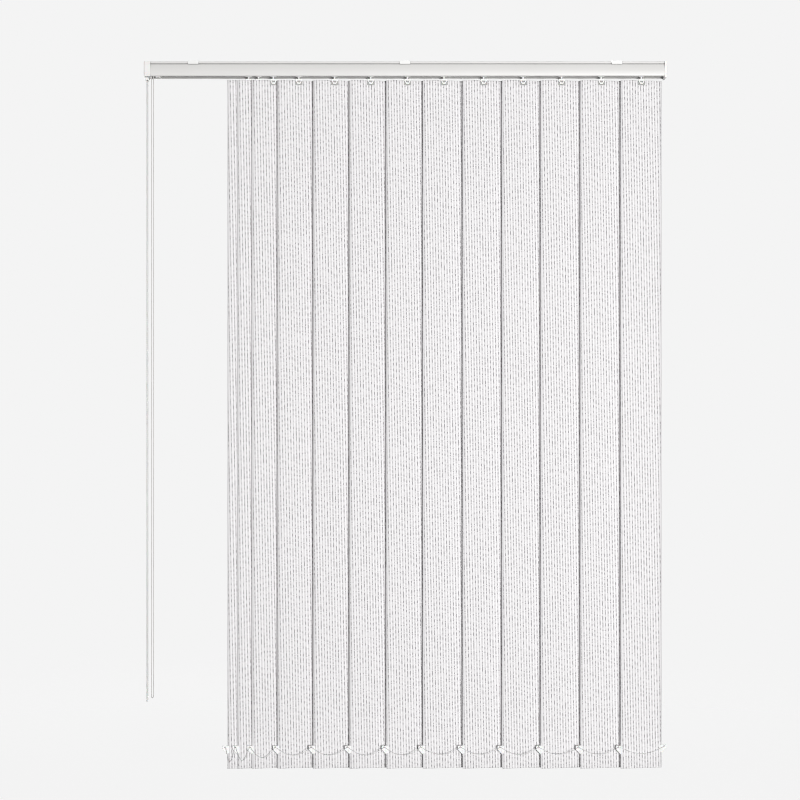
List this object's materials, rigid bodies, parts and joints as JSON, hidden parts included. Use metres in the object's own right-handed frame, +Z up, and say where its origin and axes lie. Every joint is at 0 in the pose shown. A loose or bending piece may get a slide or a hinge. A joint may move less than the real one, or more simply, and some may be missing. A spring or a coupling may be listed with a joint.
{
  "type": "vertical blind",
  "caption": "Vertical blind with fabric vanes that tilt and slide along a white headrail, a bead chain and a cord loop on the left, and weights linked by a fine chain.",
  "frame": {"origin": "centre of the middle bracket's screw hole, on its mounting face", "axes": "+X along the headrail to the right, +Y to the back, +Z up"},
  "size_m": [1.0868, 0.0464, 1.468],
  "materials": {
    "rail_coating": "satin white coating",
    "white_moulding": "smooth white",
    "rod_metal": "plain drawn",
    "bracket_coating": "gloss white",
    "control_chain": "white beads",
    "cord": "braided",
    "link_chain": "small beads",
    "carrier_moulding": "moulded white",
    "hook_moulding": "moulded white",
    "slat_fabric": "ribbed white weave"
  },
  "bodies": {
    "rail": {"headrail": "rail_coating", "control_end": "white_moulding", "end_cap": "white_moulding", "mounting_brackets": "bracket_coating", "tilt_chain": "control_chain", "traverse_cord": "cord", "carrier_13": "carrier_moulding"},
    "rod": {"tilt_rod": "rod_metal"},
    "vane_13": {"hook_13": "hook_moulding", "slat_13": "slat_fabric", "end_chain": "link_chain"},
    "chain_13": {"bottom_chain_13": "link_chain"},
    "carriage_12": {"carrier_12": "carrier_moulding"},
    "vane_12": {"hook_12": "hook_moulding", "slat_12": "slat_fabric"},
    "chain_12": {"bottom_chain_12": "link_chain"},
    "carriage_11": {"carrier_11": "carrier_moulding"},
    "vane_11": {"hook_11": "hook_moulding", "slat_11": "slat_fabric"},
    "chain_11": {"bottom_chain_11": "link_chain"},
    "carriage_10": {"carrier_10": "carrier_moulding"},
    "vane_10": {"hook_10": "hook_moulding", "slat_10": "slat_fabric"},
    "chain_10": {"bottom_chain_10": "link_chain"},
    "carriage_09": {"carrier_09": "carrier_moulding"},
    "vane_09": {"hook_09": "hook_moulding", "slat_09": "slat_fabric"},
    "chain_09": {"bottom_chain_09": "link_chain"},
    "carriage_08": {"carrier_08": "carrier_moulding"},
    "vane_08": {"hook_08": "hook_moulding", "slat_08": "slat_fabric"},
    "chain_08": {"bottom_chain_08": "link_chain"},
    "carriage_07": {"carrier_07": "carrier_moulding"},
    "vane_07": {"hook_07": "hook_moulding", "slat_07": "slat_fabric"},
    "chain_07": {"bottom_chain_07": "link_chain"},
    "carriage_06": {"carrier_06": "carrier_moulding"},
    "vane_06": {"hook_06": "hook_moulding", "slat_06": "slat_fabric"},
    "chain_06": {"bottom_chain_06": "link_chain"},
    "carriage_05": {"carrier_05": "carrier_moulding"},
    "vane_05": {"hook_05": "hook_moulding", "slat_05": "slat_fabric"},
    "chain_05": {"bottom_chain_05": "link_chain"},
    "carriage_04": {"carrier_04": "carrier_moulding"},
    "vane_04": {"hook_04": "hook_moulding", "slat_04": "slat_fabric"},
    "chain_04": {"bottom_chain_04": "link_chain"},
    "carriage_03": {"carrier_03": "carrier_moulding"},
    "vane_03": {"hook_03": "hook_moulding", "slat_03": "slat_fabric"},
    "chain_03": {"bottom_chain_03": "link_chain"},
    "carriage_02": {"carrier_02": "carrier_moulding"},
    "vane_02": {"hook_02": "hook_moulding", "slat_02": "slat_fabric"},
    "chain_02": {"bottom_chain_02": "link_chain"},
    "carriage_01": {"carrier_01": "carrier_moulding"},
    "vane_01": {"hook_01": "hook_moulding", "slat_01": "slat_fabric"},
    "chain_01": {"bottom_chain_01": "link_chain"}
  },
  "joints": [
    {"name": "vane_13_tilt", "type": "hinge", "parent": "rail", "child": "vane_13", "pos_m": [0.4915, 0, -0.03], "axis": [0, 0, 1], "range_deg": [0, 158]},
    {"name": "rod_turn", "type": "hinge", "parent": "rail", "child": "rod", "pos_m": [0, 0.008, -0.016], "axis": [1, 0, 0], "range_deg": [0, 1422]},
    {"name": "chain_13_swing", "type": "hinge", "parent": "vane_13", "child": "chain_13", "pos_m": [0.44271, -0.00948, -1.4233], "axis": [0, 0, 1], "range_deg": [-158, 0]},
    {"name": "carriage_12_slide", "type": "slide", "parent": "rail", "child": "carriage_12", "axis": [1, 0, 0], "range_m": [-0.00037, 0.066]},
    {"name": "vane_12_tilt", "type": "hinge", "parent": "carriage_12", "child": "vane_12", "pos_m": [0.408, 0, -0.03], "axis": [0, 0, 1], "range_deg": [0, 158]},
    {"name": "chain_12_slide", "type": "slide", "parent": "chain_13", "child": "chain_12", "axis": [1, 0, 0], "range_m": [-0.00037, 0.066], "deforming": ["bottom_chain_13"]},
    {"name": "carriage_11_slide", "type": "slide", "parent": "carriage_12", "child": "carriage_11", "axis": [1, 0, 0], "range_m": [-0.00111, 0.065]},
    {"name": "vane_11_tilt", "type": "hinge", "parent": "carriage_11", "child": "vane_11", "pos_m": [0.3255, 0, -0.03], "axis": [0, 0, 1], "range_deg": [0, 158]},
    {"name": "chain_11_slide", "type": "slide", "parent": "chain_12", "child": "chain_11", "axis": [1, 0, 0], "range_m": [-0.00111, 0.065], "deforming": ["bottom_chain_12"]},
    {"name": "carriage_10_slide", "type": "slide", "parent": "carriage_11", "child": "carriage_10", "axis": [1, 0, 0], "range_m": [-0.00297, 0.0625]},
    {"name": "vane_10_tilt", "type": "hinge", "parent": "carriage_10", "child": "vane_10", "pos_m": [0.2455, 0, -0.03], "axis": [0, 0, 1], "range_deg": [0, 158]},
    {"name": "chain_10_slide", "type": "slide", "parent": "chain_11", "child": "chain_10", "axis": [1, 0, 0], "range_m": [-0.00297, 0.0625], "deforming": ["bottom_chain_11"]},
    {"name": "carriage_09_slide", "type": "slide", "parent": "carriage_10", "child": "carriage_09", "axis": [1, 0, 0], "range_m": [-0.00148, 0.0645]},
    {"name": "vane_09_tilt", "type": "hinge", "parent": "carriage_09", "child": "vane_09", "pos_m": [0.1635, 0, -0.03], "axis": [0, 0, 1], "range_deg": [0, 158]},
    {"name": "chain_09_slide", "type": "slide", "parent": "chain_10", "child": "chain_09", "axis": [1, 0, 0], "range_m": [-0.00148, 0.0645], "deforming": ["bottom_chain_10"]},
    {"name": "carriage_08_slide", "type": "slide", "parent": "carriage_09", "child": "carriage_08", "axis": [1, 0, 0], "range_m": [-0.00111, 0.065]},
    {"name": "vane_08_tilt", "type": "hinge", "parent": "carriage_08", "child": "vane_08", "pos_m": [0.081, 0, -0.03], "axis": [0, 0, 1], "range_deg": [0, 158]},
    {"name": "chain_08_slide", "type": "slide", "parent": "chain_09", "child": "chain_08", "axis": [1, 0, 0], "range_m": [-0.00111, 0.065], "deforming": ["bottom_chain_09"]},
    {"name": "carriage_07_slide", "type": "slide", "parent": "carriage_08", "child": "carriage_07", "axis": [1, 0, 0], "range_m": [-0.00594, 0.0585]},
    {"name": "vane_07_tilt", "type": "hinge", "parent": "carriage_07", "child": "vane_07", "pos_m": [0.005, 0, -0.03], "axis": [0, 0, 1], "range_deg": [0, 158]},
    {"name": "chain_07_slide", "type": "slide", "parent": "chain_08", "child": "chain_07", "axis": [1, 0, 0], "range_m": [-0.00594, 0.0585], "deforming": ["bottom_chain_08"]},
    {"name": "carriage_06_slide", "type": "slide", "parent": "carriage_07", "child": "carriage_06", "axis": [1, 0, 0], "range_m": [-0.00557, 0.059]},
    {"name": "vane_06_tilt", "type": "hinge", "parent": "carriage_06", "child": "vane_06", "pos_m": [-0.0715, 0, -0.03], "axis": [0, 0, 1], "range_deg": [0, 158]},
    {"name": "chain_06_slide", "type": "slide", "parent": "chain_07", "child": "chain_06", "axis": [1, 0, 0], "range_m": [-0.00557, 0.059], "deforming": ["bottom_chain_07"]},
    {"name": "carriage_05_slide", "type": "slide", "parent": "carriage_06", "child": "carriage_05", "axis": [1, 0, 0], "range_m": [-0.00668, 0.0575]},
    {"name": "vane_05_tilt", "type": "hinge", "parent": "carriage_05", "child": "vane_05", "pos_m": [-0.1465, 0, -0.03], "axis": [0, 0, 1], "range_deg": [0, 158]},
    {"name": "chain_05_slide", "type": "slide", "parent": "chain_06", "child": "chain_05", "axis": [1, 0, 0], "range_m": [-0.00668, 0.0575], "deforming": ["bottom_chain_06"]},
    {"name": "carriage_04_slide", "type": "slide", "parent": "carriage_05", "child": "carriage_04", "axis": [1, 0, 0], "range_m": [-0.00705, 0.057]},
    {"name": "vane_04_tilt", "type": "hinge", "parent": "carriage_04", "child": "vane_04", "pos_m": [-0.221, 0, -0.03], "axis": [0, 0, 1], "range_deg": [0, 158]},
    {"name": "chain_04_slide", "type": "slide", "parent": "chain_05", "child": "chain_04", "axis": [1, 0, 0], "range_m": [-0.00705, 0.057], "deforming": ["bottom_chain_05"]},
    {"name": "carriage_03_slide", "type": "slide", "parent": "carriage_04", "child": "carriage_03", "axis": [1, 0, 0], "range_m": [-0.02302, 0.0355]},
    {"name": "vane_03_tilt", "type": "hinge", "parent": "carriage_03", "child": "vane_03", "pos_m": [-0.274, 0, -0.03], "axis": [0, 0, 1], "range_deg": [0, 158]},
    {"name": "chain_03_slide", "type": "slide", "parent": "chain_04", "child": "chain_03", "axis": [1, 0, 0], "range_m": [-0.02302, 0.0355], "deforming": ["bottom_chain_04"]},
    {"name": "carriage_02_slide", "type": "slide", "parent": "carriage_03", "child": "carriage_02", "axis": [1, 0, 0], "range_m": [-0.03973, 0.013]},
    {"name": "vane_02_tilt", "type": "hinge", "parent": "carriage_02", "child": "vane_02", "pos_m": [-0.3045, 0, -0.03], "axis": [0, 0, 1], "range_deg": [0, 158]},
    {"name": "chain_02_slide", "type": "slide", "parent": "chain_03", "child": "chain_02", "axis": [1, 0, 0], "range_m": [-0.03973, 0.013], "deforming": ["bottom_chain_03"]},
    {"name": "carriage_01_slide", "type": "slide", "parent": "carriage_02", "child": "carriage_01", "axis": [1, 0, 0], "range_m": [-0.04694, 0.0033]},
    {"name": "vane_01_tilt", "type": "hinge", "parent": "carriage_01", "child": "vane_01", "pos_m": [-0.3253, 0, -0.03], "axis": [0, 0, 1], "range_deg": [0, 158]},
    {"name": "chain_01_slide", "type": "slide", "parent": "chain_02", "child": "chain_01", "axis": [1, 0, 0], "range_m": [-0.04694, 0.0033], "deforming": ["bottom_chain_02", "bottom_chain_01"]}
  ],
  "couplings": [
    {"joint": "rod_turn", "follows": "vane_13_tilt", "ratio": 9},
    {"joint": "chain_13_swing", "follows": "vane_13_tilt", "ratio": -1},
    {"joint": "vane_12_tilt", "follows": "vane_13_tilt", "ratio": 1},
    {"joint": "chain_12_slide", "follows": "carriage_12_slide", "ratio": 1},
    {"joint": "vane_11_tilt", "follows": "vane_13_tilt", "ratio": 1},
    {"joint": "chain_11_slide", "follows": "carriage_11_slide", "ratio": 1},
    {"joint": "vane_10_tilt", "follows": "vane_13_tilt", "ratio": 1},
    {"joint": "chain_10_slide", "follows": "carriage_10_slide", "ratio": 1},
    {"joint": "vane_09_tilt", "follows": "vane_13_tilt", "ratio": 1},
    {"joint": "chain_09_slide", "follows": "carriage_09_slide", "ratio": 1},
    {"joint": "vane_08_tilt", "follows": "vane_13_tilt", "ratio": 1},
    {"joint": "chain_08_slide", "follows": "carriage_08_slide", "ratio": 1},
    {"joint": "vane_07_tilt", "follows": "vane_13_tilt", "ratio": 1},
    {"joint": "chain_07_slide", "follows": "carriage_07_slide", "ratio": 1},
    {"joint": "vane_06_tilt", "follows": "vane_13_tilt", "ratio": 1},
    {"joint": "chain_06_slide", "follows": "carriage_06_slide", "ratio": 1},
    {"joint": "vane_05_tilt", "follows": "vane_13_tilt", "ratio": 1},
    {"joint": "chain_05_slide", "follows": "carriage_05_slide", "ratio": 1},
    {"joint": "vane_04_tilt", "follows": "vane_13_tilt", "ratio": 1},
    {"joint": "chain_04_slide", "follows": "carriage_04_slide", "ratio": 1},
    {"joint": "vane_03_tilt", "follows": "vane_13_tilt", "ratio": 1},
    {"joint": "chain_03_slide", "follows": "carriage_03_slide", "ratio": 1},
    {"joint": "vane_02_tilt", "follows": "vane_13_tilt", "ratio": 1},
    {"joint": "chain_02_slide", "follows": "carriage_02_slide", "ratio": 1},
    {"joint": "vane_01_tilt", "follows": "vane_13_tilt", "ratio": 1},
    {"joint": "chain_01_slide", "follows": "carriage_01_slide", "ratio": 1}
  ]
}
